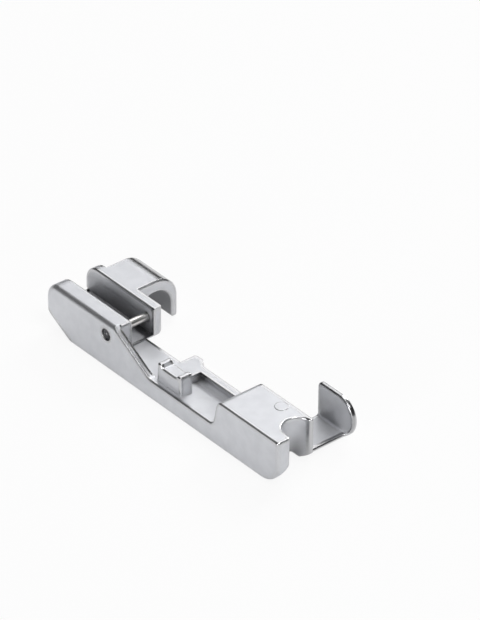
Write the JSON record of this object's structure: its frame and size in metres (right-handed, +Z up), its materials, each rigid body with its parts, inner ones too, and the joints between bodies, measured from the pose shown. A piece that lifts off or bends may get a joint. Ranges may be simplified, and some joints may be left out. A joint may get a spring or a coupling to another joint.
{
  "type": "sewing machine presser foot",
  "caption": "Cast overlock presser foot with a cross pin between two ears, a rear hook over a bead tunnel, a notched front block and a fenced bead trough.",
  "frame": {"origin": "on the flat sole, under the middle of the bounding box", "axes": "+Z up from the sole, +Y along the foot to its rear end, where the pin and the hook are, +X to the operator's right, where the hook and the bead trough are"},
  "size_m": [0.0176, 0.0564, 0.0086],
  "materials": {
    "cast_body": "satin plated casting, lightly blasted",
    "polished_pin": "polished steel"
  },
  "bodies": {
    "root": {"foot_body": "cast_body", "cross_pin": "polished_pin"}
  },
  "joints": []
}
